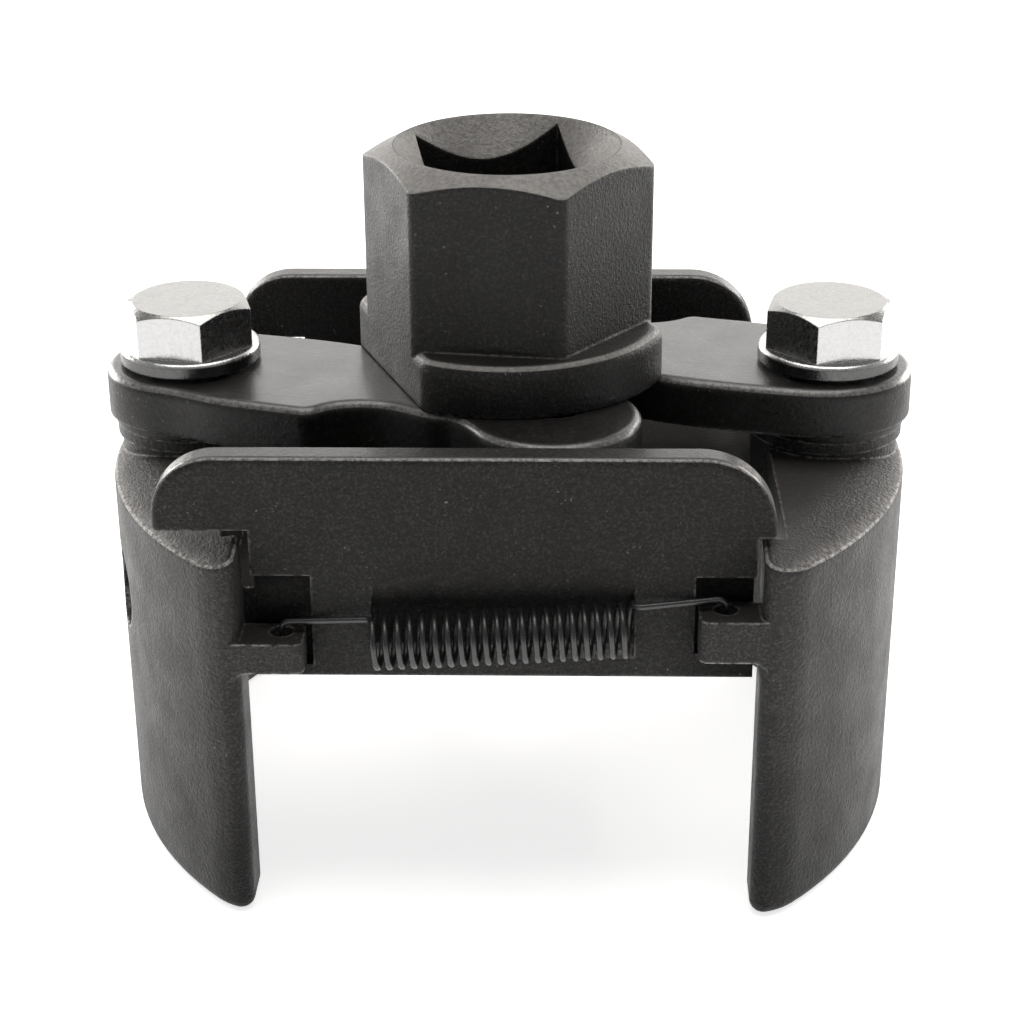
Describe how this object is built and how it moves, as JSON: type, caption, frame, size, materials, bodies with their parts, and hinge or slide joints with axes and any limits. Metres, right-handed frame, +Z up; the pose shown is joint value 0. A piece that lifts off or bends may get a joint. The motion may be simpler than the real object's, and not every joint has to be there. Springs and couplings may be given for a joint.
{
  "type": "oil filter wrench",
  "caption": "Two-jaw self-gripping oil filter wrench: crank drive with square socket and hexagon, links, sliding curved jaws, guide frame and return springs.",
  "frame": {"origin": "on the drive's axis, in the plane the jaws' feet stand on", "axes": "+Z up along the drive's axis, out of the square socket; the jaws slide along X, the left jaw at -X; -Y is the front, with the low-mounted spring end on the left"},
  "size_m": [0.071, 0.0546, 0.0603],
  "materials": {
    "cast_black": "black coating over fine cast grain, rubbed bright at edges",
    "forged_black": "satin black oxide on forged steel",
    "bright_zinc": "bright zinc plate",
    "pin_steel": "ground steel, lightly oiled",
    "spring_black": "black oxide spring wire"
  },
  "bodies": {
    "guide_frame": {"guide_frame": "cast_black", "front_spring": "spring_black", "back_spring": "spring_black"},
    "left_jaw": {"left_jaw": "cast_black", "left_pivot_bolt": "bright_zinc", "left_bolt_washer": "bright_zinc", "left_pivot_bush": "pin_steel", "left_thrust_washer": "bright_zinc"},
    "right_jaw": {"right_jaw": "cast_black", "right_pivot_bolt": "bright_zinc", "right_bolt_washer": "bright_zinc", "right_pivot_bush": "pin_steel", "right_thrust_washer": "bright_zinc"},
    "left_link": {"left_link": "forged_black"},
    "right_link": {"right_link": "forged_black"},
    "drive": {"drive_body": "forged_black", "left_crank_pin": "pin_steel", "right_crank_pin": "pin_steel", "left_pin_washer": "pin_steel", "right_pin_washer": "pin_steel"}
  },
  "joints": [
    {"name": "left_jaw_slide", "type": "slide", "parent": "guide_frame", "child": "left_jaw", "axis": [-1, 0, 0], "range_m": [0, 0.01], "stiffness_N_per_m": 2060, "springref_m": -0.002, "deforming": ["front_spring", "back_spring"]},
    {"name": "right_jaw_slide", "type": "slide", "parent": "guide_frame", "child": "right_jaw", "axis": [1, 0, 0], "range_m": [0, 0.01], "deforming": ["front_spring", "back_spring"]},
    {"name": "drive_turn", "type": "hinge", "parent": "guide_frame", "child": "drive", "pos_m": [0, 0, 0.041], "axis": [0, 0, 1], "range_deg": [-58, 0]},
    {"name": "left_link_swing", "type": "hinge", "parent": "left_jaw", "child": "left_link", "pos_m": [-0.0281, 0, 0.0386], "axis": [0, 0, 1], "range_deg": [0, 2.01]},
    {"name": "right_link_swing", "type": "hinge", "parent": "right_jaw", "child": "right_link", "pos_m": [0.0281, 0, 0.0386], "axis": [0, 0, 1], "range_deg": [0, 2.01]}
  ],
  "couplings": [
    {"joint": "right_jaw_slide", "follows": "left_jaw_slide", "ratio": 1},
    {"joint": "drive_turn", "follows": "left_jaw_slide", "rad_per_m": -101},
    {"joint": "left_link_swing", "follows": "left_jaw_slide", "rad_per_m": 3.5},
    {"joint": "right_link_swing", "follows": "left_jaw_slide", "rad_per_m": 3.5}
  ]
}
